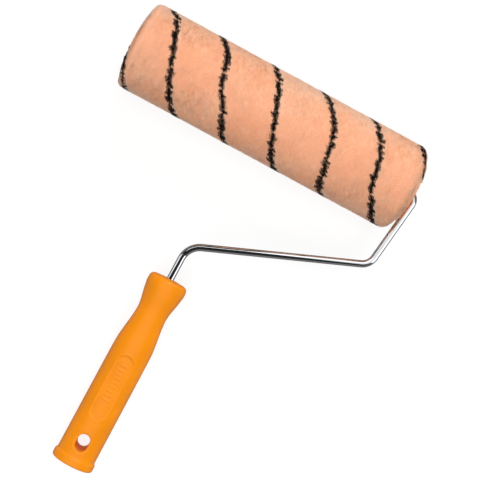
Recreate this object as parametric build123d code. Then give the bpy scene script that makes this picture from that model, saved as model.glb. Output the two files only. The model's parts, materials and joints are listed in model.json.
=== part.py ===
from build123d import *
import math
import os

# Hand paint roller: a wire frame with a moulded handle, and a plush cover that spins on two
# bearing plugs and pulls off them.
# Working plane: X along the roller's axis with the wire's upright at +X, Y from the handle's butt
# to the roller, Z out of the tool's flat side. The roller's axis is the X axis while the parts are
# drawn. At the end the whole tool is tipped onto the floor, resting on the pile and on the butt.

os.makedirs("parts", exist_ok=True)

# --- driving dimensions, millimetres -------------------------------------------------------------
CORE_LENGTH = 250.0
CORE_OUTER_R = 24.0
CORE_INNER_R = 22.0
PILE_R = 37.2
PILE_END_INSET = 0.8       # the pile's root stops this far short of each end of the core
PILE_EDGE_R = 6.5          # sheared, rounded edge of the pile at each end

WIRE_R = 3.0
SHANK_X = -11.6            # the handle's centre line
SHANK_BEND_Y = -123.8      # where the shank meets the cross run
CORNER = (125.2, -67.5)    # where the cross run meets the upright
AXLE_BEND_X = 133.4        # where the upright meets the axle
AXLE_END_X = -124.2
SHANK_DEPTH = 82.0         # wire inside the handle
BEND_RADII = (17.0, 12.0, 8.0)

HANDLE_TOP_Y = -154.4
HANDLE_BUTT_Y = -322.4
BARREL_TOP_Y = -216.0      # where the waist has widened out to the full grip
BARREL_WIDTH = 32.2
BARREL_DEPTH = 22.4
BUTT_WIDTH = 32.8
BUTT_DEPTH = 22.8
HEAD_WIDTH = 33.2
HEAD_DEPTH = 24.4
WAIST_Y = -185.5
WAIST_WIDTH = 25.4
WAIST_DEPTH = 18.6
HEAD_EDGE_R = 3.2
FLANGE_LENGTH = 5.6
FLANGE_WIDTH = 35.4
FLANGE_DEPTH = 25.4
FLANGE_EDGE_R = 1.8

HANDLE_WALL = 3.0
WEB_THICKNESS = 2.2
CAVITY_TOP_Y = -226.0
SOCKET_WALL = 3.6          # plastic round the wire below the solid neck
SLOT_Y = -301.2
SLOT_WIDTH = 10.2
SLOT_LENGTH = 14.6
SLOT_WALL = 2.6

PLUG_FIT = 0.05            # radial play of the plugs in the core, and of the wire in the plugs
PLUG_DEPTH = 28.0          # how far each plug reaches into the core
PLUG_WALL = 2.2
PLUG_LEAD = 0.6            # chamfer that leads the core onto the plug
HUB_R = 6.4
COLLAR_R = 9.6             # the hub's wide end, bored out to hold the washer
COLLAR_LENGTH = 7.0
POCKET_R = 7.6
WEB_THICKNESS_PLUG = 2.6
DISH_R = 18.4              # the web's outer face is dished inside this radius
SPOKES = 6
SPOKE_THICKNESS = 1.8
STOP_R = 23.0              # the inner plug's flange, which stops the core
STOP_THICKNESS = 1.8
END_GAP = 0.3              # axial play between pieces that turn against each other
INNER_WEB_INSET = 0.6      # outer face of the web, inside the core's end
OUTER_WEB_INSET = 3.2
INNER_POCKET = 3.4         # depth of the washer's pocket below the web's outer face
OUTER_POCKET = 2.6

WASHER_R = 7.0
WASHER_THICKNESS = 1.0
WASHER_FIT = 0.1
EAR_LENGTH = 2.4
EAR_SPAN = 9.4
EAR_THICKNESS = 3.4
EAR_CORNER_R = 0.8
NUT_R = 6.6
NUT_THICKNESS = 0.6
NUT_CROWN_R = 4.4
NUT_CROWN_HEIGHT = 1.8
NUT_TEETH = 4

# --- worked-out places ---------------------------------------------------------------------------
HALF_CORE = CORE_LENGTH / 2
INNER_WEB_FACE = HALF_CORE - INNER_WEB_INSET
OUTER_WEB_FACE = HALF_CORE - OUTER_WEB_INSET
INNER_POCKET_FLOOR = INNER_WEB_FACE - INNER_POCKET
OUTER_POCKET_FLOOR = OUTER_WEB_FACE - OUTER_POCKET
PLUG_BACK = HALF_CORE - PLUG_DEPTH
PLUG_R = CORE_INNER_R - PLUG_FIT
HUB_BORE_R = WIRE_R + PLUG_FIT
# The flange's lower edge and the pile both touch the floor.
butt_reach = math.hypot(HANDLE_BUTT_Y, FLANGE_DEPTH / 2)
tip_angle = math.asin(PILE_R / butt_reach) - math.atan2(FLANGE_DEPTH / 2, -HANDLE_BUTT_Y)


def turned(profile_points):
    """A solid turned about the roller's axis, from (x, radius) points."""
    outline = Polyline([(x, r, 0) for x, r in profile_points], close=True)
    return revolve(make_face(outline), Axis.X, 360)


def tube_x(x_from, x_to, r_out, r_in):
    """A plain tube about the roller's axis."""
    return turned([(x_from, r_in), (x_to, r_in), (x_to, r_out), (x_from, r_out)])


def oval(y, width, depth):
    """An oval section of the handle across its length at y."""
    plane = Plane(origin=(SHANK_X, y, 0), x_dir=(1, 0, 0), z_dir=(0, 1, 0))
    return plane * Ellipse(width / 2, depth / 2)


def slot_prism(grow, depth, edge=0.0):
    """The hanging slot's racetrack along Z, grown all round."""
    sketch = Rot(0, 0, 90) * SlotOverall(SLOT_LENGTH + 2 * grow, SLOT_WIDTH + 2 * grow)
    return Pos(SHANK_X, SLOT_Y, 0) * extrude(sketch, depth / 2, both=True)


def make_handle():
    head_sections = [
        oval(HANDLE_TOP_Y, HEAD_WIDTH - 1.2, HEAD_DEPTH - 0.8),
        oval(HANDLE_TOP_Y - 8.0, HEAD_WIDTH, HEAD_DEPTH),
        oval((HANDLE_TOP_Y - 8.0 + WAIST_Y) / 2 + 2.5, 30.0, 22.2),
        oval(WAIST_Y + 5.5, 26.4, 19.4),
        oval(WAIST_Y, WAIST_WIDTH, WAIST_DEPTH),
        oval(WAIST_Y - 9.0, 26.8, 19.2),
        oval(WAIST_Y - 20.0, 29.8, 20.8),
        oval(BARREL_TOP_Y + 2.0, BARREL_WIDTH - 0.3, BARREL_DEPTH - 0.2),
        oval(BARREL_TOP_Y - 6.0, BARREL_WIDTH, BARREL_DEPTH),
    ]
    head = loft(head_sections)
    top_edge = head.edges().sort_by(Axis.Y)[-1]
    head = fillet(top_edge, HEAD_EDGE_R)
    flange_y = HANDLE_BUTT_Y + FLANGE_LENGTH
    barrel = loft([
        oval(BARREL_TOP_Y - 6.0, BARREL_WIDTH, BARREL_DEPTH),
        oval(flange_y - 1.0, BUTT_WIDTH, BUTT_DEPTH),
    ])
    flange = extrude(oval(HANDLE_BUTT_Y, FLANGE_WIDTH, FLANGE_DEPTH), FLANGE_LENGTH)
    flange = fillet(flange.edges(), FLANGE_EDGE_R)
    body = head + barrel + flange

    inner = 2 * HANDLE_WALL
    cavity = loft([
        oval(CAVITY_TOP_Y, BARREL_WIDTH - inner, BARREL_DEPTH - inner),
        oval(HANDLE_BUTT_Y - 1.0, BUTT_WIDTH - inner, BUTT_DEPTH - inner),
    ])
    web_length = CAVITY_TOP_Y - HANDLE_BUTT_Y
    web_centre = (SHANK_X, (CAVITY_TOP_Y + HANDLE_BUTT_Y) / 2, 0)
    web = Pos(web_centre) * Box(BUTT_WIDTH, web_length - 2.0, WEB_THICKNESS)
    socket_end = HANDLE_TOP_Y - SHANK_DEPTH - SOCKET_WALL
    socket = Pos(SHANK_X, socket_end, 0) * (
        Rot(-90, 0, 0) * Cylinder(WIRE_R + SOCKET_WALL, CAVITY_TOP_Y - socket_end + 2.0,
                                  align=(Align.CENTER, Align.CENTER, Align.MIN))
    )
    slot_boss = slot_prism(SLOT_WALL, BUTT_DEPTH)
    body -= cavity - web - socket - slot_boss
    body -= slot_prism(0.0, 3 * BUTT_DEPTH)
    wire_hole = Pos(SHANK_X, HANDLE_TOP_Y + 5.0, 0) * (
        Rot(90, 0, 0) * Cylinder(WIRE_R, SHANK_DEPTH + 5.0,
                                 align=(Align.CENTER, Align.CENTER, Align.MIN))
    )
    return body - wire_hole


def make_wire_frame():
    path = FilletPolyline(
        (SHANK_X, HANDLE_TOP_Y - SHANK_DEPTH, 0),
        (SHANK_X, SHANK_BEND_Y, 0),
        (*CORNER, 0),
        (AXLE_BEND_X, 0, 0),
        (AXLE_END_X, 0, 0),
        radius=list(BEND_RADII),
    )
    section = Plane(origin=path @ 0, z_dir=path % 0) * Circle(WIRE_R)
    wire = sweep(section, path=path)
    wire = chamfer(wire.faces().filter_by(GeomType.PLANE).sort_by(Axis.X)[0].edges(), 0.6)
    for x in ear_places():
        ear = Pos(x + EAR_LENGTH / 2, 0, 0) * Box(EAR_LENGTH, EAR_SPAN, EAR_THICKNESS)
        wire += fillet(ear.edges().filter_by(Axis.Z), EAR_CORNER_R)
    return wire


def ear_places():
    """The left ends of the three pairs of pinched ears that hold the plugs along the axle."""
    outside_inner = INNER_POCKET_FLOOR + 2 * END_GAP + WASHER_THICKNESS
    inside_inner = PLUG_BACK - END_GAP - EAR_LENGTH
    inside_outer = -PLUG_BACK + END_GAP
    return outside_inner, inside_inner, inside_outer


def plug_inside(web_face, pocket_floor):
    """The plug's outline from the dish down into the washer's pocket and along the wire's bore."""
    return [
        (web_face, DISH_R),
        (web_face, POCKET_R),
        (pocket_floor, POCKET_R),
        (pocket_floor, HUB_BORE_R),
        (PLUG_BACK, HUB_BORE_R),
        (PLUG_BACK, HUB_R),
        (web_face - COLLAR_LENGTH, HUB_R),
        (web_face - COLLAR_LENGTH, COLLAR_R),
        (web_face - WEB_THICKNESS_PLUG, COLLAR_R),
        (web_face - WEB_THICKNESS_PLUG, PLUG_R - PLUG_WALL),
        (PLUG_BACK, PLUG_R - PLUG_WALL),
        (PLUG_BACK, PLUG_R - PLUG_LEAD),
        (PLUG_BACK + PLUG_LEAD, PLUG_R),
    ]


def spokes(web_face, rim_face):
    """Raised spokes in the dish, between the pocket's collar and the rim."""
    length = DISH_R - POCKET_R + 1.0
    spoke = Box(rim_face - web_face + 1.0, SPOKE_THICKNESS, length)
    spoke = Pos((rim_face + web_face - 1.0) / 2, 0, POCKET_R + length / 2) * spoke
    turns = [Rot(i * 360 / SPOKES, 0, 0) * spoke for i in range(SPOKES)]
    collar = tube_x(web_face - 1.0, rim_face, COLLAR_R, POCKET_R)
    return [collar, *turns]


def make_inner_plug():
    stop_face = HALF_CORE + END_GAP
    rim_face = stop_face + STOP_THICKNESS
    plug = turned(plug_inside(INNER_WEB_FACE, INNER_POCKET_FLOOR) + [
        (stop_face, PLUG_R),
        (stop_face, STOP_R),
        (rim_face - PLUG_LEAD, STOP_R),
        (rim_face, STOP_R - PLUG_LEAD),
        (rim_face, DISH_R),
    ])
    for detail in spokes(INNER_WEB_FACE, rim_face - 1.0):
        plug += detail
    return plug


def make_outer_plug():
    """Drawn like the inner plug, then turned round to face the free end."""
    rim_face = HALF_CORE - END_GAP - PLUG_LEAD
    plug = turned(plug_inside(OUTER_WEB_FACE, OUTER_POCKET_FLOOR) + [
        (rim_face - PLUG_LEAD, PLUG_R),
        (rim_face, PLUG_R - PLUG_LEAD),
        (rim_face, DISH_R),
    ])
    for detail in spokes(OUTER_WEB_FACE, rim_face - 0.6):
        plug += detail
    return Rot(0, 0, 180) * plug


def make_washer(x_from):
    return tube_x(x_from, x_from + WASHER_THICKNESS, WASHER_R, WIRE_R + WASHER_FIT)


def make_push_nut(x_face):
    """A dished spring nut whose slotted crown grips the axle. x_face is its face on the washer."""
    t, h = NUT_THICKNESS, NUT_CROWN_HEIGHT
    nut = turned([
        (x_face, NUT_R),
        (x_face - t, NUT_R),
        (x_face - t, NUT_CROWN_R + 0.3),
        (x_face - t - h, WIRE_R + 0.6),
        (x_face - t - h, WIRE_R),
        (x_face - h, WIRE_R),
        (x_face, NUT_CROWN_R),
    ])
    for i in range(NUT_TEETH // 2):
        slit = Pos(x_face - t - h / 2, 0, 0) * Box(h + t, 2 * NUT_CROWN_R - 0.6, 0.9)
        nut -= Rot(45 + i * 90, 0, 0) * slit
    return nut


def make_core_tube():
    return tube_x(-HALF_CORE, HALF_CORE, CORE_OUTER_R, CORE_INNER_R)


def make_pile_cover():
    half = HALF_CORE - PILE_END_INSET
    pile = tube_x(-half, half, PILE_R, CORE_OUTER_R)
    rims = pile.edges().filter_by(GeomType.CIRCLE).group_by(SortBy.RADIUS)[-1]
    return fillet(rims, PILE_EDGE_R)


outer_stack = -OUTER_POCKET_FLOOR - END_GAP
parts = {
    "handle": make_handle(),
    "wire_frame": make_wire_frame(),
    "inner_stop_washer": make_washer(INNER_POCKET_FLOOR + END_GAP),
    "outer_washer": make_washer(outer_stack - WASHER_THICKNESS),
    "push_nut": make_push_nut(outer_stack - WASHER_THICKNESS),
    "inner_bearing_plug": make_inner_plug(),
    "outer_bearing_plug": make_outer_plug(),
    "core_tube": make_core_tube(),
    "pile_cover": make_pile_cover(),
}

# --- tip the tool onto the floor, with its base centred on the origin -----------------------------
tip = Pos(0, 0, PILE_R) * Rot(math.degrees(tip_angle), 0, 0)
placed = {name: tip * shape for name, shape in parts.items()}
box = Compound(children=[Compound(shape.wrapped) for shape in placed.values()]).bounding_box()
centre = Pos(-(box.min.X + box.max.X) / 2, -(box.min.Y + box.max.Y) / 2, 0)
print("tip angle, degrees:", round(math.degrees(tip_angle), 4))
print("lowest point:", round(box.min.Z, 4), "base centre before the shift:", centre.position)
for name, shape in placed.items():
    solids = (centre * shape).solids()
    whole = solids[0] if len(solids) == 1 else Compound(children=solids)
    export_step(whole, f"parts/{name}.step")
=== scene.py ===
import json
import math

import bmesh
import bpy
import numpy as np
from mathutils import Matrix, Vector


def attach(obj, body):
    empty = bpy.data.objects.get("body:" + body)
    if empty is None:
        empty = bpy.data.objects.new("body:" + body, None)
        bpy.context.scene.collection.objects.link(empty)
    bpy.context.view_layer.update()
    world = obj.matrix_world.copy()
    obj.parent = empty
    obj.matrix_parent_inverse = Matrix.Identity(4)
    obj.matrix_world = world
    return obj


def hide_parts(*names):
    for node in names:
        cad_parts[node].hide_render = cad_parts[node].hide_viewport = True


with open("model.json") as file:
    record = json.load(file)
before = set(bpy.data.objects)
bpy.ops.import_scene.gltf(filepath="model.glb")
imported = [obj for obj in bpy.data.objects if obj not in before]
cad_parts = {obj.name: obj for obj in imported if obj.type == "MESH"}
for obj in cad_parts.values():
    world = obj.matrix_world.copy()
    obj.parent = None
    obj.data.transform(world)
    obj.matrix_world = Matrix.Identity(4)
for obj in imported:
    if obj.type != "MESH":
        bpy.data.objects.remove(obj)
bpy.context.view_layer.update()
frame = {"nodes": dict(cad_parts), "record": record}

# A hand paint roller: satin orange handle, chromed wire frame, and a peach plush cover with black
# marker yarns wound round it. Lengths are in metres; MM turns millimetres into metres.
MM = 0.001
scene = bpy.context.scene
record = frame["record"]
nodes = frame["nodes"]

# --- the tool's own frame: X along the roller's axis, Y handle to roller, Z out of the flat side ---
spin = next(j for j in record["behaviour"]["joints"] if j["name"] == "cover_spin")
slot_axis = Vector(next(m for m in record["mounts"] if m["name"] == "hang_slot")["axis"])
TIP = math.atan2(-slot_axis.y, slot_axis.z)
TOOL = Matrix.Translation(Vector(spin["pos_m"])) @ Matrix.Rotation(TIP, 4, "X")
TOOL_TURN = np.array(TOOL.to_3x3())
TOOL_SHIFT = np.array(TOOL.translation)


def to_row(points):
    """Points of the tool's frame, in metres, as points of the row frame."""
    return points @ TOOL_TURN.T + TOOL_SHIFT


# --- camera --------------------------------------------------------------------------------------
EYE = Vector((-14.7, -94.5, 825.4)) * MM
view_turn = (
    Matrix.Rotation(math.radians(-0.35), 4, "X")
    @ Matrix.Rotation(math.radians(-2.62), 4, "Y")
    @ Matrix.Rotation(math.radians(28.21), 4, "Z")
)
camera = bpy.data.objects.new("camera", bpy.data.cameras.new("camera"))
scene.collection.objects.link(camera)
camera.data.sensor_width = 36.0
camera.data.lens = 76.8
camera.data.clip_start = 0.01
camera.matrix_world = TOOL @ Matrix.Translation(EYE) @ view_turn
scene.camera = camera
VIEW_AXES = camera.matrix_world.to_3x3()


# --- materials -----------------------------------------------------------------------------------
def from_srgb(r, g, b):
    """A linear colour from 0-255 sRGB numbers."""
    def line(v):
        v /= 255.0
        return v / 12.92 if v <= 0.04045 else ((v + 0.055) / 1.055) ** 2.4
    return (line(r), line(g), line(b), 1.0)


def new_material(name, colour, rough, **sockets):
    """A Principled material. Returns it with its node tree and shader."""
    material = bpy.data.materials.new(name)
    material.use_nodes = True
    tree = material.node_tree
    shader = tree.nodes["Principled BSDF"]
    shader.inputs["Base Color"].default_value = colour
    shader.inputs["Roughness"].default_value = rough
    for key, value in sockets.items():
        shader.inputs[key.replace("_", " ")].default_value = value
    return material, tree, shader


def noise(tree, scale, detail=3.0, stretch=(1.0, 1.0, 1.0), rough=0.55):
    """A noise texture over the object's own coordinates."""
    place = tree.nodes.new("ShaderNodeTexCoord")
    mapping = tree.nodes.new("ShaderNodeMapping")
    mapping.inputs["Scale"].default_value = stretch
    texture = tree.nodes.new("ShaderNodeTexNoise")
    texture.inputs["Scale"].default_value = scale
    texture.inputs["Detail"].default_value = detail
    texture.inputs["Roughness"].default_value = rough
    tree.links.new(place.outputs["Object"], mapping.inputs["Vector"])
    tree.links.new(mapping.outputs["Vector"], texture.inputs["Vector"])
    return texture.outputs["Fac"]


def ramp(tree, value, stops):
    """A colour ramp over value, from (place, colour) stops."""
    node = tree.nodes.new("ShaderNodeValToRGB")
    elements = node.color_ramp.elements
    elements[0].position, elements[0].color = stops[0]
    elements[1].position, elements[1].color = stops[-1]
    for place, colour in stops[1:-1]:
        elements.new(place).color = colour
    tree.links.new(value, node.inputs["Fac"])
    return node.outputs["Color"]


def grey(v):
    return (v, v, v, 1.0)


def add_bump(tree, shader, value, distance, strength=1.0):
    bump = tree.nodes.new("ShaderNodeBump")
    bump.inputs["Strength"].default_value = strength
    bump.inputs["Distance"].default_value = distance
    tree.links.new(value, bump.inputs["Height"])
    tree.links.new(bump.outputs["Normal"], shader.inputs["Normal"])


def scaled(colour, by):
    return tuple(min(c * by, 1.0) for c in colour[:3]) + (1.0,)


def plastic(name, colour, rough, variation=0.06):
    """Moulded polypropylene: slight colour clouding, fine mould texture, satin gloss."""
    material, tree, shader = new_material(name, colour, rough, Specular_IOR_Level=0.45)
    cloud = noise(tree, 38.0, 4.0)
    colours = ramp(tree, cloud, [(0.3, scaled(colour, 1 - variation)),
                                 (0.7, scaled(colour, 1 + variation))])
    tree.links.new(colours, shader.inputs["Base Color"])
    scuff = noise(tree, 160.0, 5.0)
    tree.links.new(ramp(tree, scuff, [(0.25, grey(rough - 0.05)), (0.75, grey(rough + 0.07))]),
                   shader.inputs["Roughness"])
    add_bump(tree, shader, noise(tree, 2600.0, 2.0), 0.00002, 0.35)
    return material


def metal(name, colour, rough, draw=(1.0, 1.0, 1.0), bump=0.000004):
    """Plated metal with faint streaks in its gloss."""
    material, tree, shader = new_material(name, colour, rough, Metallic=1.0)
    streak = noise(tree, 420.0, 4.0, draw)
    tree.links.new(ramp(tree, streak, [(0.3, grey(rough * 0.6)), (0.75, grey(rough * 1.6))]),
                   shader.inputs["Roughness"])
    add_bump(tree, shader, noise(tree, 900.0, 3.0, draw), bump, 0.3)
    return material


ORANGE = from_srgb(238, 139, 6)
handle_material = plastic("handle_plastic", ORANGE, 0.38)
plug_material = plastic("plug_plastic", from_srgb(251, 156, 80), 0.42)
chrome = metal("chromed_wire", from_srgb(236, 238, 241), 0.04, bump=0.0000008)
zinc = metal("plated_steel", from_srgb(200, 202, 206), 0.24)
core_material = plastic("core_plastic", from_srgb(226, 226, 220), 0.5, 0.04)

for node, material in (
    ("handle", handle_material),
    ("wire_frame", chrome),
    ("inner_stop_washer", zinc),
    ("outer_washer", zinc),
    ("push_nut", zinc),
    ("inner_bearing_plug", plug_material),
    ("outer_bearing_plug", plug_material),
    ("core_tube", core_material),
):
    slots = nodes[node].material_slots
    if not len(slots):
        nodes[node].data.materials.append(material)
    for one in slots:
        one.material = material


# --- mesh helpers --------------------------------------------------------------------------------
def mesh_object(name, verts, faces):
    """An object from an (n, 3) array and an (m, 3) or (m, 4) array of corners."""
    mesh = bpy.data.meshes.new(name)
    sides = faces.shape[1]
    mesh.vertices.add(len(verts))
    mesh.vertices.foreach_set("co", np.ascontiguousarray(verts, np.float32).ravel())
    mesh.loops.add(faces.size)
    mesh.loops.foreach_set("vertex_index", np.ascontiguousarray(faces, np.int32).ravel())
    mesh.polygons.add(len(faces))
    mesh.polygons.foreach_set("loop_start", np.arange(0, faces.size, sides, dtype=np.int32))
    mesh.polygons.foreach_set("use_smooth", np.ones(len(faces), bool))
    mesh.update(calc_edges=True)
    mesh.validate()
    thing = bpy.data.objects.new(name, mesh)
    scene.collection.objects.link(thing)
    return thing


def colour_attribute(thing, name, colours):
    """Writes (n, 3) linear colours, one for each vertex."""
    attribute = thing.data.color_attributes.new(name, "FLOAT_COLOR", "POINT")
    whole = np.ones((len(colours), 4), np.float32)
    whole[:, :3] = colours
    attribute.data.foreach_set("color", whole.ravel())


def field(x, a, cell, seed, around):
    """Smooth random numbers, about -1 to 1, over length x and distance round a, which repeats
    every `around`. cell is the size of a patch."""
    rng = np.random.default_rng(seed)
    columns = max(3, int(round(around / cell)))
    grid = rng.uniform(-1, 1, (512, columns))
    u = x / cell + 256.0
    v = (a / around % 1.0) * columns
    i, j = np.floor(u).astype(int), np.floor(v).astype(int)
    s, t = u - i, v - j
    s, t = s * s * (3 - 2 * s), t * t * (3 - 2 * t)
    i0, i1, j0, j1 = i % 512, (i + 1) % 512, j % columns, (j + 1) % columns
    return ((grid[i0, j0] * (1 - s) + grid[i1, j0] * s) * (1 - t)
            + (grid[i0, j1] * (1 - s) + grid[i1, j1] * s) * t)


# --- the pile cover ------------------------------------------------------------------------------
PILE_R = 37.1 * MM
PILE_FLAT = 116.4 * MM          # half the length over which the pile has its full radius
PILE_END = 124.3 * MM
PILE_END_R = 28.6 * MM          # where the rounded edge turns into the cut end
PILE_LIP = (127.2 * MM, 25.6 * MM)   # the splayed fibres' reach past the core's end
# The left end against the right: how far its lip reaches, and how deep and how long its rounded
# edge is.
LEFT_LIP_SHARE = 0.8
LEFT_EDGE_SHARE = 0.45
LEFT_EDGE_LENGTH = 0.87
PILE_ROOT_R = 24.05 * MM
MARKER_PITCH = 45.2 * MM        # spacing of the marker yarns along the cover
MARKER_LEAD = 2 * MARKER_PITCH  # two yarns, so one turn of either is two spacings
MARKER_START = -0.4 * MM
MARKER_SWAY = 1.6 * MM
TUFT_STEP = 1.9 * MM            # length of yarn that strays as one
TUFT_SHIFT = 1.5 * MM
TUFT_HALF_WIDTH = (1.75, 2.0)   # least, and what chance adds, in millimetres
THIN_TUFT_SHARE = 0.08
THIN_TUFT_HALF = 0.6 * MM
# How far each turn of yarn strays from its helix: (number, turn angle, spread, shift).
MARKER_STRAYS = (
    (1, 12.0, 34.0, 4.2), (1, -75.0, 22.0, -3.0), (2, -22.0, 20.0, -3.2), (-1, 0.0, 22.0, -2.4),
    (-1, -35.0, 24.0, 1.8), (3, 55.0, 30.0, -3.4), (-3, -50.0, 26.0, 3.4), (-1, 66.0, 20.0, -2.2),
)
PILE_COLOUR = np.array(from_srgb(254, 190, 153)[:3])
PALE_COLOUR = np.array(from_srgb(232, 208, 188)[:3])
BLACK_COLOUR = np.array(from_srgb(16, 13, 13)[:3])


def pile_profile():
    """The pile's outline from the middle to the core: rows of (x, r, normal x, normal r)."""
    rows = [(x, PILE_R, 0.0, 1.0) for x in np.linspace(0, PILE_FLAT, 60)[:-1]]
    long, deep = PILE_END - PILE_FLAT, PILE_R - PILE_END_R
    for t in np.radians(np.linspace(0, 90, 32)):
        nx, nr = math.sin(t) / long, math.cos(t) / deep
        size = math.hypot(nx, nr)
        rows.append((PILE_FLAT + long * math.sin(t), PILE_END_R + deep * math.cos(t),
                     nx / size, nr / size))
    lip_x, lip_r = PILE_LIP
    slope = math.hypot(PILE_END_R - lip_r, lip_x - PILE_END)
    for t in np.linspace(0, 1, 9)[1:]:
        rows.append((PILE_END + (lip_x - PILE_END) * t, PILE_END_R + (lip_r - PILE_END_R) * t,
                     (PILE_END_R - lip_r) / slope, (lip_x - PILE_END) / slope))
    return np.array(rows)


PROFILE = pile_profile()


def marker_centre(number, angle):
    """Where marker yarn turn `number` runs at an angle round the cover, measured from Z to Y."""
    turn = np.degrees(angle)
    x = (MARKER_START + number * MARKER_PITCH - MARKER_LEAD * angle / (2 * math.pi)
         + MARKER_SWAY * np.sin(angle))
    for which, at, spread, shift in MARKER_STRAYS:
        if which == number:
            x = x + shift * MM * np.exp(-((turn - at) / spread) ** 2)
    return x


def nearest_marker(x, angle):
    """For each point, the yarn turn beside it and the distance to its middle."""
    numbers = np.arange(-5, 6)
    offsets = np.array([x - marker_centre(n, angle) for n in numbers])
    best = np.abs(offsets).argmin(0)
    return numbers[best], offsets[best, np.arange(len(x))]


def yarn_tufts(number, angle):
    """Each tuft of yarn's own sideways shift and half width, as for a real ragged line."""
    tuft = np.floor((angle / (2 * math.pi) + number * 0.5) * 2 * math.pi * PILE_R / TUFT_STEP)
    key = (tuft.astype(int) * 7919 + number * 104729) % 4099
    rng = np.random.default_rng(77)
    shift = rng.uniform(-1.0, 1.0, 4099)[key] * TUFT_SHIFT
    half = (TUFT_HALF_WIDTH[0] + TUFT_HALF_WIDTH[1] * rng.uniform(0, 1, 4099)[key]) * MM
    half = np.where(rng.uniform(0, 1, 4099)[key] < THIN_TUFT_SHARE, THIN_TUFT_HALF, half)
    return shift, half


def ring_points(x, r, angle):
    """Tool-frame points on the cover from length, radius and angle from Z to Y. The left end's
    edge is squared up on the way."""
    left_end = x < -PILE_FLAT
    edge_r = PILE_R - (PILE_R - PILE_END_R) * LEFT_EDGE_SHARE
    near_rim = PILE_R - (PILE_R - r) * LEFT_EDGE_SHARE
    near_core = PILE_LIP[1] + (r - PILE_LIP[1]) * (edge_r - PILE_LIP[1]) / (PILE_END_R - PILE_LIP[1])
    squared = np.where(r > PILE_END_R, near_rim, np.where(r > PILE_LIP[1], near_core, r))
    r = np.where(left_end, squared, r)
    x = np.where(x < -PILE_END, -PILE_END + (x + PILE_END) * LEFT_LIP_SHARE, x)
    x = np.where(left_end, -PILE_FLAT + (x + PILE_FLAT) * LEFT_EDGE_LENGTH, x)
    return np.stack([x, r * np.sin(angle), r * np.cos(angle)], -1)


def along_profile(share):
    """Length, radius and normal at shares 0 to 1 of the pile's outer area, end to end."""
    steps = np.hypot(np.diff(PROFILE[:, 0]), np.diff(PROFILE[:, 1]))
    weights = steps * (PROFILE[1:, 1] + PROFILE[:-1, 1]) / 2
    area = np.concatenate([[0], np.cumsum(weights)])
    area /= area[-1]
    signed = share * 2 - 1
    side = np.where(signed < 0, -1.0, 1.0)
    found = [np.interp(np.abs(signed), area, PROFILE[:, k]) for k in range(4)]
    return found[0] * side, found[1], found[2] * side, found[3]


GROUND_INSET = 1.7 * MM
FIBRE_LENGTH = 3.1 * MM
FIBRE_WIDTH = 0.36 * MM         # from a fibre's middle to a corner of its root
FIBRE_CLEAR_R = 24.8 * MM       # no fibre's root comes nearer the axle than this
STRAY_FIBRES = 0.015            # share of fibres that stand proud of the rest
STRAY_HEIGHT = 0.35 * MM
YARN_STANDS_PROUD = 0.12 * MM
YARN_GAPS = 0.05                # share of peach fibres left in the yarn
HALO_MIDDLE = 3.0 * MM          # the paler fibres beside each yarn
HALO_REACH = 2.6 * MM
HALO_STRENGTH = 0.8
FIBRES_PER_PIECE = 47000
NAP_PIECES = 5


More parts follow.
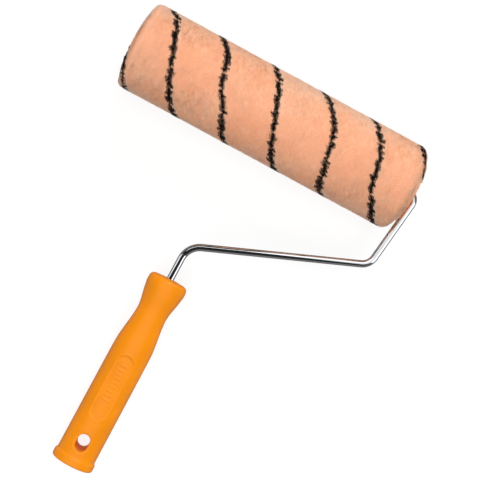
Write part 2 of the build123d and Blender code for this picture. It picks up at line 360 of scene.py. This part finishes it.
def nap_fibres():
    """Every fibre's tip, root, normal and colour, and whether it is black marker yarn."""
    count = FIBRES_PER_PIECE * NAP_PIECES
    rng = np.random.default_rng(5)
    index = np.arange(count)
    share = (index * 0.7548776662466927 + rng.uniform(-1, 1, count) * 0.0006) % 1.0
    angle = ((index * 0.5698402909980532 + rng.uniform(-1, 1, count) * 0.0012) % 1.0 - 0.5)
    angle = angle * 2 * math.pi
    x, r, nx, nr = along_profile(share)
    zero = np.zeros(count)
    radial = ring_points(zero, np.ones(count), angle)
    around = np.stack([zero, np.cos(angle), -np.sin(angle)], -1)
    axial = np.tile([1.0, 0.0, 0.0], (count, 1))
    normal = nx[:, None] * axial + nr[:, None] * radial
    arc, whole = angle * PILE_R, 2 * math.pi * PILE_R

    number, off = nearest_marker(x, angle)
    shift, half = yarn_tufts(number, angle)
    black = (np.abs(off - shift) < half) & (rng.uniform(0, 1, count) > YARN_GAPS)
    halo = np.clip(1 - np.abs(off - HALO_MIDDLE) / HALO_REACH, 0, 1) * ~black

    lean_x = (0.20 * field(x, arc, 26 * MM, 11, whole) + 0.30 * field(2.0 * x, arc, 4.4 * MM, 12, whole)
              + 0.16 * rng.normal(0, 1, count))
    lean_a = (0.24 * field(x, arc, 30 * MM, 13, whole) + 0.34 * field(2.0 * x, arc, 4.4 * MM, 14, whole)
              + 0.16 * rng.normal(0, 1, count))
    lean_x = np.where(black, lean_x * 0.6 + 0.55 * shift / TUFT_SHIFT, lean_x)
    out = 0.72 * normal + 0.28 * radial
    out = out + lean_x[:, None] * axial + lean_a[:, None] * around
    out /= np.linalg.norm(out, axis=1)[:, None]

    sink = (0.10 + 0.24 * field(x, arc, 2.4 * MM, 15, whole) + 0.22 * rng.uniform(0, 1, count)) * MM
    stray = rng.uniform(0, 1, count) > 1 - STRAY_FIBRES
    sink = np.where(stray, -STRAY_HEIGHT * rng.uniform(0, 1, count), sink)
    sink = np.where(black, sink - YARN_STANDS_PROUD, sink)
    tip = ring_points(x, r, angle) - normal * sink[:, None]
    root = tip - out * FIBRE_LENGTH
    tip_r, root_r = np.hypot(tip[:, 1], tip[:, 2]), np.hypot(root[:, 1], root[:, 2])
    low = root_r < FIBRE_CLEAR_R        # at the cut ends, kept off the core and the plug's flange
    kept = np.where(low, (tip_r - FIBRE_CLEAR_R) / np.maximum(tip_r - root_r, 0.01 * MM), 1.0)
    root = tip - out * FIBRE_LENGTH * np.clip(kept, 0.1, 1.0)[:, None]

    strand = field(2.2 * x + 0.9 * arc, arc, 3.6 * MM, 16, whole)
    lock = field(1.8 * x - 0.8 * arc, arc, 4.6 * MM, 20, whole)
    tone = (1.0 + 0.08 * strand + 0.06 * lock + 0.04 * field(x, arc, 15 * MM, 17, whole)
            + 0.12 * rng.normal(0, 1, count))
    warm = 0.10 * field(x, arc, 22 * MM, 18, whole) + 0.06 * field(x, arc, 6 * MM, 19, whole)
    colour = PILE_COLOUR[None] * tone[:, None]
    colour = colour * (1 + warm[:, None] * np.array([0.1, 0.8, 1.5]))
    colour = (colour * (1 - HALO_STRENGTH * halo[:, None])
              + PALE_COLOUR * HALO_STRENGTH * halo[:, None])
    ink = BLACK_COLOUR[None] * (1 + 0.5 * rng.uniform(-1, 1, count))[:, None]
    colour = np.where(black[:, None], ink, colour)
    return tip, root, out, normal, np.clip(colour, 0, 1), black


def fibre_mesh(name, tip, root, out, normal, colour, width, seed):
    """One object of closed three-sided spikes, shaded mostly by the surface they stand on."""
    count = len(tip)
    rng = np.random.default_rng(seed)
    side = np.cross(out, rng.normal(0, 1, (count, 3)))
    side /= np.linalg.norm(side, axis=1)[:, None]
    other = np.cross(out, side)
    corners, shading = [], []
    for k in range(3):
        a = 2 * math.pi * k / 3
        spoke = math.cos(a) * side + math.sin(a) * other
        corners.append(root + spoke * width)
        shading.append(normal + 0.38 * spoke)
    corners.append(tip)
    shading.append(normal + 0.8 * (out - normal))
    verts = to_row(np.stack(corners, 1).reshape(-1, 3))
    shade = np.stack(shading, 1).reshape(-1, 3) @ TOOL_TURN.T
    shade /= np.linalg.norm(shade, axis=1)[:, None]
    first = np.arange(count)[:, None, None] * 4
    pattern = np.array([[0, 2, 1], [0, 1, 3], [1, 2, 3], [2, 0, 3]])[None]
    thing = mesh_object(name, verts, (first + pattern).reshape(-1, 3))
    thing.data.normals_split_custom_set_from_vertices(shade.astype(np.float32))
    # Painted shade: each spike's three root corners get 0.86 of its colour and its tip 1.02, so the
    # pile darkens towards its roots.
    painted_root_shade = np.tile(np.array([0.86, 0.86, 0.86, 1.02]), count)
    colour_attribute(thing, "fibre", np.repeat(colour, 4, 0) * painted_root_shade[:, None])
    return thing


def fibre_material(name, sheen, rough):
    """Dyed fibre. Each fibre's colour, darkened towards its root with painted shade, is in the mesh;
    the shader adds the yarn's soft sheen.
    """
    material, tree, shader = new_material(
        name, grey(0.8), rough, Sheen_Weight=sheen, Sheen_Roughness=0.45, Specular_IOR_Level=0.2)
    shader.inputs["Sheen Tint"].default_value = (1.0, 0.9, 0.84, 1.0)
    source = tree.nodes.new("ShaderNodeAttribute")
    source.attribute_name = "fibre"
    mix = tree.nodes.new("ShaderNodeMix")
    mix.data_type = "RGBA"
    mix.blend_type = "MULTIPLY"
    mix.inputs["Factor"].default_value = 1.0
    tree.links.new(source.outputs["Color"], mix.inputs["A"])
    tree.links.new(ramp(tree, noise(tree, 240.0, 3.0), [(0.3, grey(0.97)), (0.7, grey(1.0))]),
                   mix.inputs["B"])
    tree.links.new(mix.outputs["Result"], shader.inputs["Base Color"])
    return material


pile_material = fibre_material("pile_fibre", 0.4, 0.85)
marker_material = fibre_material("marker_fibre", 0.05, 0.7)


def make_ground():
    """The backing that the fibres stand in, as one closed ring-shaped body round the core."""
    outline = [(x - GROUND_INSET * nx, r - GROUND_INSET * nr, nx, nr) for x, r, nx, nr in PROFILE]
    x = np.array([row[0] for row in outline])
    r = np.array([row[1] for row in outline])
    dense_x = np.concatenate([np.arange(0, x[59], 0.9 * MM), x[60:]])
    dense_r = np.interp(dense_x, x[:61], r[:61])
    dense_r[-len(x[60:]):] = r[60:]
    xs = np.concatenate([-dense_x[::-1], dense_x[1:]])
    rs = np.concatenate([dense_r[::-1], dense_r[1:]])
    xs = np.concatenate([xs, [xs[-1], xs[0]]])
    rs = np.concatenate([rs, [PILE_ROOT_R, PILE_ROOT_R]])
    turns = 220
    angle = np.linspace(-math.pi, math.pi, turns, endpoint=False)
    grid_x = np.repeat(xs, turns)
    grid_r = np.repeat(rs, turns)
    grid_a = np.tile(angle, len(xs))
    verts = to_row(ring_points(grid_x, grid_r, grid_a))
    i = np.arange(len(xs))[:, None] * turns
    j = np.arange(turns)[None]
    k = (j + 1) % turns
    i2 = np.roll(i, -1, 0)
    faces = np.stack([i + j, i2 + j, i2 + k, i + k], -1).reshape(-1, 4)
    thing = mesh_object("pile_backing", verts, faces)
    number, off = nearest_marker(grid_x, grid_a)
    shift, _ = yarn_tufts(number, grid_a)
    ink = np.clip((1.9 * MM - np.abs(off - 0.5 * shift)) / (0.8 * MM), 0, 1)[:, None]
    # Painted shade: the backing gets 0.84 of the pile's colour for the shade deep under the fibres; the
    # black under each yarn is the yarn's own colour.
    colour_attribute(thing, "fibre", PILE_COLOUR * 0.84 * (1 - ink) + BLACK_COLOUR * ink)
    return thing


tip, root, out, normal, colour, black = nap_fibres()
ground = make_ground()
ground.data.materials.append(pile_material)
plain = np.flatnonzero(~black)
nap_parts = []
for n in range(NAP_PIECES):
    pick = plain[n::NAP_PIECES]
    part = fibre_mesh(f"nap_{n + 1}", tip[pick], root[pick], out[pick], normal[pick], colour[pick],
                      FIBRE_WIDTH, 30 + n)
    part.data.materials.append(pile_material)
    nap_parts.append(part)
pick = np.flatnonzero(black)
yarn = fibre_mesh("marker_yarn", tip[pick], root[pick], out[pick], normal[pick], colour[pick],
                  FIBRE_WIDTH * 1.15, 50)
yarn.data.materials.append(marker_material)
nap_parts.append(yarn)
for part in [ground, *nap_parts]:
    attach(part, "cover")
    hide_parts("pile_cover")


# --- the handle ----------------------------------------------------------------------------------
SHANK_X = -11.6 * MM
HEAD_TOP = -154.4 * MM
BUTT = -322.4 * MM
# Half width and half depth along the handle: (y, a, b) in millimetres.
HANDLE_STATIONS = np.array([
    (-150.0, 15.9, 11.7), (-156.0, 16.3, 11.9), (-162.4, 16.6, 12.2), (-171.5, 15.0, 11.1),
    (-180.0, 13.1, 9.6), (-185.5, 12.6, 9.2), (-194.5, 13.3, 9.55), (-205.5, 14.9, 10.4),
    (-214.0, 15.9, 11.1), (-222.0, 16.1, 11.2), (-270.0, 16.25, 11.3), (-330.0, 16.4, 11.4),
])
STATION_BLUR = 2.2              # millimetres over which one station runs into the next
FLARE = 1.3 * MM                # the butt's flange, proud of the grip
FLARE_FROM = -313.8 * MM
FLARE_TO = -316.6 * MM
TOP_ROUND = 3.6 * MM
BUTT_ROUND = 1.8 * MM
TOP_CROWN = 0.7 * MM
PANEL_MIDDLE = -251.9 * MM      # the recessed panel on the front
PANEL_HALF = 29.0 * MM
PANEL_ROUND = 7.4 * MM
PANEL_DEPTH = 0.55 * MM
RIB_COUNT = 9
RIB_STEP = 3.8 * MM
RIB_FIRST = -232.0 * MM
RIB_HALF = (3.5 * MM, 0.62 * MM)
RIB_HEIGHT = 0.38 * MM
SLOT_Y = -301.2 * MM
SLOT_R = 5.1 * MM
SLOT_RUN = 2.2 * MM             # half the straight part of the hanging slot
SLOT_LIP = 1.1 * MM


def step(value, width):
    """0 below nothing, 1 above width, smooth between."""
    t = np.clip(value / width, 0, 1)
    return t * t * (3 - 2 * t)


def handle_size(y):
    """Half width and half depth at y, in metres."""
    fine = np.arange(-336.0, -144.0, 0.25)
    order = np.argsort(HANDLE_STATIONS[:, 0])
    kernel = np.exp(-(np.arange(-8, 8.01, 0.25) / STATION_BLUR) ** 2)
    kernel /= kernel.sum()
    sizes = []
    for k in (1, 2):
        raw = np.interp(fine, HANDLE_STATIONS[order, 0], HANDLE_STATIONS[order, k])
        padded = np.pad(raw, len(kernel) // 2, mode="edge")
        sizes.append(np.interp(y / MM, fine, np.convolve(padded, kernel, "valid")) * MM)
    flare = FLARE * step(FLARE_FROM - y, FLARE_FROM - FLARE_TO)
    return sizes[0] + flare, sizes[1] + flare * 0.85


def handle_relief(x, y, z):
    """How far the skin stands in from the plain oval, for the panel, its ribs, the slot's rounded
    lips and the mould's parting line. x is from the handle's own middle."""
    run = np.clip(np.abs(y - PANEL_MIDDLE) - (PANEL_HALF - PANEL_ROUND), 0, None)
    edge = np.hypot(x, run) - PANEL_ROUND
    front = z > 0
    rim = 0.16 * MM * np.exp(-((edge - 0.6 * MM) / (0.5 * MM)) ** 2)
    sunk = PANEL_DEPTH * step(-edge, 0.9 * MM) - rim
    for k in range(RIB_COUNT):
        at = RIB_FIRST - k * RIB_STEP
        sunk = sunk - (RIB_HEIGHT * step(RIB_HALF[0] - np.abs(x), 0.5 * MM)
                       * step(RIB_HALF[1] - np.abs(y - at), 0.4 * MM))
    sunk = np.where(front, sunk, 0.0)
    run = np.clip(np.abs(y - SLOT_Y) - SLOT_RUN, 0, None)
    gap = np.clip(np.hypot(x, run) - SLOT_R, 0, SLOT_LIP)
    lip = SLOT_LIP - np.sqrt(np.clip(SLOT_LIP ** 2 - (SLOT_LIP - gap) ** 2, 0, None))
    ring = np.hypot(x, run) - SLOT_R - 2.5 * MM
    sunk = sunk + lip - 0.14 * MM * np.exp(-(ring / (0.55 * MM)) ** 2)
    return sunk - 0.09 * MM * np.exp(-(z / (0.2 * MM)) ** 2) * (np.abs(x) > 9 * MM)


def skin(name, rings):
    """A closed body from rings of the same number of points, capped at both ends."""
    rings = np.asarray(rings, float)
    count, around = rings.shape[:2]
    i = np.arange(count - 1)[:, None] * around
    j = np.arange(around)[None]
    k = (j + 1) % around
    quads = np.stack([i + j, i + k, i + around + k, i + around + j], -1).reshape(-1, 4).tolist()
    caps = [list(range(around))[::-1], list(range((count - 1) * around, count * around))]
    mesh = bpy.data.meshes.new(name)
    mesh.from_pydata(rings.reshape(-1, 3).tolist(), [], quads + caps)
    mesh.validate()
    work = bmesh.new()
    work.from_mesh(mesh)
    bmesh.ops.recalc_face_normals(work, faces=work.faces)
    work.to_mesh(mesh)
    work.free()
    thing = bpy.data.objects.new(name, mesh)
    scene.collection.objects.link(thing)
    return thing


def oval_ring(y, a, b, angles):
    return np.stack([SHANK_X + a * np.sin(angles), np.full(len(angles), y), b * np.cos(angles)], -1)


def slot_ring(radius, z):
    turn = np.linspace(0, 2 * math.pi, 96, endpoint=False)
    x, y = radius * np.cos(turn), radius * np.sin(turn)
    return np.stack([SHANK_X + x, SLOT_Y + y + SLOT_RUN * np.sign(y), np.full(len(turn), z)], -1)


def boolean(target, tool, operation):
    """Applies a boolean to target's mesh and removes the tool."""
    modifier = target.modifiers.new("cut", "BOOLEAN")
    modifier.object, modifier.operation, modifier.solver = tool, operation, "EXACT"
    graph = bpy.context.evaluated_depsgraph_get()
    mesh = bpy.data.meshes.new_from_object(target.evaluated_get(graph))
    target.modifiers.clear()
    target.data = mesh
    bpy.data.objects.remove(tool)


def handle_angles():
    """Places round the handle, closest together over the panel, the slot and the parting line."""
    reach = 16.2
    front = np.arcsin(np.arange(-9.6, 9.61, 0.32) / reach)
    back = math.pi - np.arcsin(np.arange(-8.0, 8.01, 0.5) / reach)
    line = np.array([-0.5, -0.3, -0.15, 0.0, 0.15, 0.3, 0.5]) / 11.3
    side = np.concatenate([np.linspace(front[-1], math.pi / 2 - 0.08, 14)[1:], math.pi / 2 + line,
                           np.linspace(math.pi / 2 + 0.08, back.min(), 16)[:-1]])
    return np.sort(np.concatenate([front, back, side, -side]) % (2 * math.pi))


def make_handle():
    """The handle's skin, hollowed, slotted and bored for the wire."""
    angles = handle_angles()
    top, butt = HEAD_TOP, BUTT
    rings = []
    a, b = handle_size(np.array([top]))
    a, b = a[0] - TOP_ROUND, b[0] - TOP_ROUND
    for share in (0.05, 0.22, 0.4, 0.58, 0.74, 0.88):
        rings.append(oval_ring(top + TOP_CROWN * (1 - share ** 2), a * share, b * share, angles))
    for t in np.radians(np.linspace(90, 6, 15)):
        y = top - TOP_ROUND * (1 - math.sin(t))
        inset = TOP_ROUND * (1 - math.cos(t))
        a, b = handle_size(np.array([y]))
        rings.append(oval_ring(y, a[0] - inset, b[0] - inset, angles))
    ys = np.concatenate([
        np.arange(top - TOP_ROUND, -221 * MM, -1.0 * MM), np.arange(-221, -283, -0.32) * MM,
        np.arange(-283, -292, -0.9) * MM, np.arange(-292, -312, -0.36) * MM,
        np.arange(-312, butt / MM + BUTT_ROUND / MM, -0.3) * MM])
    for y, a, b in zip(ys, *handle_size(ys)):
        ring = oval_ring(y, a, b, angles)
        out = np.stack([np.sin(angles) / a, np.zeros(len(angles)), np.cos(angles) / b], -1)
        out /= np.linalg.norm(out, axis=1)[:, None]
        ring -= out * handle_relief(ring[:, 0] - SHANK_X, ring[:, 1], ring[:, 2])[:, None]
        rings.append(ring)
    for t in np.radians(np.linspace(6, 90, 9)):
        y = butt + BUTT_ROUND * (1 - math.sin(t))
        inset = BUTT_ROUND * (1 - math.cos(t))
        a, b = handle_size(np.array([y]))
        rings.append(oval_ring(y, a[0] - inset, b[0] - inset, angles))
    a, b = a[0] - BUTT_ROUND, b[0] - BUTT_ROUND
    for share in (0.8, 0.4, 0.05):
        rings.append(oval_ring(butt, a * share, b * share, angles))
    handle = skin("handle_grip", rings)

    even = np.linspace(0, 2 * math.pi, 96, endpoint=False)
    hollow = skin("hollow", [oval_ring(y * MM, a * MM, b * MM, even) for y, a, b in (
        (-226.0, 11.9, 7.0), (-226.4, 12.7, 7.8), (-227.4, 13.1, 8.2), (-321.2, 13.4, 8.4),
        (-322.0, 13.6, 8.6), (-323.4, 14.6, 9.6))])
    web = skin("web", [[(SHANK_X + x * MM, y * MM, z * MM) for x, z in (
        (-18, -1.1), (18, -1.1), (18, 1.1), (-18, 1.1))] for y in (-224.0, -321.4)])
    boss = skin("boss", [slot_ring(SLOT_R + 2.6 * MM, z * MM) for z in (-14, 14)])
    socket = skin("socket", [oval_ring(y * MM, 6.6 * MM, 6.6 * MM, even) for y in (-222, -240)])
    for solid in (web, boss, socket):
        boolean(hollow, solid, "DIFFERENCE")
    cuts = bmesh.new()
    cuts.from_mesh(hollow.data)
    for extra in (
        skin("slot", [slot_ring(SLOT_R, z * MM) for z in (-20, 20)]),
        skin("bore", [oval_ring(y * MM, r * MM, r * MM, even) for y, r in (
            (-150, 4.2), (-153.5, 3.6), (-154.3, 3.12), (-155.2, 3.03), (-236.4, 3.03))]),
    ):
        cuts.from_mesh(extra.data)
        bpy.data.objects.remove(extra)
    cuts.to_mesh(hollow.data)
    cuts.free()
    boolean(handle, hollow, "DIFFERENCE")
    handle.data.transform(TOOL)
    handle.data.polygons.foreach_set("use_smooth", np.ones(len(handle.data.polygons), bool))
    handle.data.set_sharp_from_angle(angle=math.radians(38))
    handle.data.materials.clear()
    handle.data.materials.append(handle_material)
    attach(handle, "frame")
    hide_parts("handle")
    return handle


handle = make_handle()


# --- the wire frame ------------------------------------------------------------------------------
WIRE_R = 3.0 * MM
# The wire's corners from inside the handle to the axle's end, and the bend radius at each.
WIRE_CORNERS = np.array([(-11.6, -236.4), (-11.6, -123.8), (125.2, -67.5), (133.4, 0.0),
                         (-124.2, 0.0)]) * MM
WIRE_BENDS = (17.0 * MM, 12.0 * MM, 8.0 * MM)
WIRE_SIDES = 96
WIRE_CHAMFER = 0.6 * MM
BEND_RINGS = 40
EAR_PLACES = (122.6 * MM, 94.3 * MM, -96.7 * MM)   # left ends of the pinched ears on the axle
EAR_LENGTH = 2.4 * MM
EAR_RAMP = 0.3 * MM
EAR_START = 0.02 * MM            # the round wire runs up to here from each ear
EAR_HALF_SPAN = 4.7 * MM
EAR_HALF_THICKNESS = 1.7 * MM


def wire_path():
    """Centre points and unit directions along the wire, with its bends rounded."""
    points, ways = [WIRE_CORNERS[0]], []
    start = WIRE_CORNERS[1] - WIRE_CORNERS[0]
    ways.append(start / np.linalg.norm(start))
    for n, bend in enumerate(WIRE_BENDS, 1):
        into = WIRE_CORNERS[n] - WIRE_CORNERS[n - 1]
        away = WIRE_CORNERS[n + 1] - WIRE_CORNERS[n]
        into, away = into / np.linalg.norm(into), away / np.linalg.norm(away)
        side = into[0] * away[1] - into[1] * away[0]
        turn = math.acos(float(np.clip(into @ away, -1, 1)))
        left = np.array([-into[1], into[0]]) * (1 if side > 0 else -1)
        begin = WIRE_CORNERS[n] - into * bend * math.tan(turn / 2)
        for t in np.linspace(0, turn, BEND_RINGS):
            points.append(begin + bend * (math.sin(t) * into + (1 - math.cos(t)) * left))
            ways.append(math.cos(t) * into + math.sin(t) * left)
    return points, ways


def ear_section(turns):
    """The wire's radius round one pinched ear: the round wire with two flat wings."""
    wings = np.minimum(EAR_HALF_SPAN / np.maximum(np.abs(np.cos(turns)), 1e-6),
                       EAR_HALF_THICKNESS / np.maximum(np.abs(np.sin(turns)), 1e-6))
    return np.maximum(WIRE_R, np.minimum(wings, EAR_HALF_SPAN + 0.1 * MM))


def make_wire():
    """The whole wire as one smooth closed tube."""
    turns = np.linspace(0, 2 * math.pi, WIRE_SIDES, endpoint=False)
    round_wire = np.full(WIRE_SIDES, WIRE_R)
    rings = []

    def add(point, way, radii):
        across = np.array([-way[1], way[0], 0.0])
        centre = np.array([point[0], point[1], 0.0])
        rings.append(centre + (radii * np.cos(turns))[:, None] * across
                     + (radii * np.sin(turns))[:, None] * np.array([0.0, 0.0, 1.0]))

    for point, way in zip(*wire_path()):
        add(point, way, round_wire)
    left = np.array([-1.0, 0.0])
    for place in EAR_PLACES:
        right_end = place + EAR_LENGTH
        pinched = ear_section(turns)
        for x, radii in ((right_end + EAR_START, round_wire), (right_end - EAR_RAMP, pinched),
                         (place + EAR_RAMP, pinched), (place - EAR_START, round_wire)):
            add((x, 0.0), left, radii)
    end = WIRE_CORNERS[-1][0]
    add((end + WIRE_CHAMFER, 0.0), left, round_wire)
    add((end, 0.0), left, round_wire - WIRE_CHAMFER)
    wire = skin("wire", rings)
    wire.data.transform(TOOL)
    wire.data.polygons.foreach_set("use_smooth", np.ones(len(wire.data.polygons), bool))
    wire.data.set_sharp_from_angle(angle=math.radians(30))
    wire.data.materials.append(chrome)
    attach(wire, "frame")
    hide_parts("wire_frame")
    return wire


wire = make_wire()


# --- floor and light -----------------------------------------------------------------------------
floor = mesh_object("floor", np.array([[-3, -3, 0], [3, -3, 0], [3, 3, 0], [-3, 3, 0]], float),
                    np.array([[0, 1, 2, 3]]))
floor.location.z = -0.0004
FLOOR_GLOW_SHARE = 0.78
FLOOR_GLOW = 1.06
FLAG_GREY = 0.16
floor_material, tree, shader = new_material("floor", grey(0.86), 0.8, Specular_IOR_Level=0.1)
glow = tree.nodes.new("ShaderNodeEmission")
glow.inputs["Color"].default_value = grey(1.0)
glow.inputs["Strength"].default_value = FLOOR_GLOW
blend = tree.nodes.new("ShaderNodeMixShader")
blend.inputs["Fac"].default_value = FLOOR_GLOW_SHARE
flag = tree.nodes.new("ShaderNodeEmission")     # what the chrome sees of the floor: a grey flag
flag.inputs["Color"].default_value = grey(FLAG_GREY)
mirror_ray = tree.nodes.new("ShaderNodeLightPath")
pick_side = tree.nodes.new("ShaderNodeMixShader")
tree.links.new(shader.outputs["BSDF"], blend.inputs[1])
tree.links.new(glow.outputs["Emission"], blend.inputs[2])
tree.links.new(mirror_ray.outputs["Is Glossy Ray"], pick_side.inputs["Fac"])
tree.links.new(blend.outputs["Shader"], pick_side.inputs[1])
tree.links.new(flag.outputs["Emission"], pick_side.inputs[2])
tree.links.new(pick_side.outputs["Shader"], tree.nodes["Material Output"].inputs["Surface"])
floor.data.materials.append(floor_material)

MIDDLE = to_row(np.array([[0.0, -110 * MM, 0.0]]))[0]


def only_for(lamp, *things):
    """Lets a reflection card light the given pieces and nothing else."""
    group = bpy.data.collections.new(lamp.name + "_pieces")
    for thing in things:
        group.objects.link(thing)
    lamp.light_linking.receiver_collection = group


def area_light(name, off_axis, clock, distance, width, height, power, diffuse, glossy):
    """A softbox aimed at the tool. off_axis is its angle from the lens's direction and clock its
    place round it in the picture, from right towards up, both in degrees."""
    a, b = math.radians(off_axis), math.radians(clock)
    direction = VIEW_AXES @ Vector((math.sin(a) * math.cos(b), math.sin(a) * math.sin(b), math.cos(a)))
    lamp = bpy.data.lights.new(name, "AREA")
    lamp.shape = "RECTANGLE"
    lamp.size, lamp.size_y, lamp.energy = width, height, power
    thing = bpy.data.objects.new(name, lamp)
    scene.collection.objects.link(thing)
    thing.location = Vector(MIDDLE) + direction * distance
    thing.rotation_euler = direction.to_track_quat("Z", "Y").to_euler()
    thing.visible_camera = False
    thing.visible_diffuse = diffuse
    thing.visible_glossy = glossy
    return thing


# Two softboxes light everything. The cards only make reflections, each on the pieces it is for.
area_light("overhead", 9, -106, 2.2, 2.4, 2.4, 58, True, False)
area_light("key", 64, 50, 2.0, 1.2, 1.2, 27, True, False)
metals = (wire, nodes["inner_stop_washer"], nodes["outer_washer"], nodes["push_nut"])
only_for(area_light("right_card", 64, -28, 1.8, 1.0, 1.4, 6, False, True), *metals)
only_for(area_light("left_card", 60, 152, 1.8, 0.35, 1.4, 1.4, False, True), *metals)
only_for(area_light("top_card", 31, 84, 1.8, 1.6, 0.35, 2.2, False, True), *metals)
only_for(area_light("handle_card", 34, 48, 1.8, 0.7, 0.7, 4.5, False, True), handle)
# A card close over the wire's upright, level with the tool's flat side.
upright_card = area_light("upright_card", 0, 0, 1.0, 0.17, 0.1, 0.045, False, True)
upright_card.location = Vector(to_row(np.array([[0.108, -0.027, 0.062]]))[0])
upright_card.rotation_euler = TOOL.to_3x3().to_euler()
only_for(upright_card, wire)

world = bpy.data.worlds.new("studio")
scene.world = world
world.use_nodes = True
tree = world.node_tree
sky = tree.nodes["Background"]
place = tree.nodes.new("ShaderNodeTexCoord")
split = tree.nodes.new("ShaderNodeSeparateXYZ")
tree.links.new(place.outputs["Generated"], split.inputs["Vector"])
height = ramp(tree, split.outputs["Z"], [(0.0, grey(0.24)), (0.12, grey(0.24)), (0.35, grey(0.14)),
                                         (0.6, grey(0.02))])
backdrop = tree.nodes.new("ShaderNodeMix")      # a low view sees the pale backdrop past the floor
backdrop.data_type = "RGBA"
backdrop.inputs["B"].default_value = grey(0.95)
seen = tree.nodes.new("ShaderNodeLightPath")
tree.links.new(seen.outputs["Is Camera Ray"], backdrop.inputs["Factor"])
tree.links.new(height, backdrop.inputs["A"])
tree.links.new(backdrop.outputs["Result"], sky.inputs["Color"])
sky.inputs["Strength"].default_value = 1.0

scene.view_settings.view_transform = "Standard"
scene.view_settings.look = "None"
scene.view_settings.exposure = 0.0
scene.view_settings.gamma = 1.0
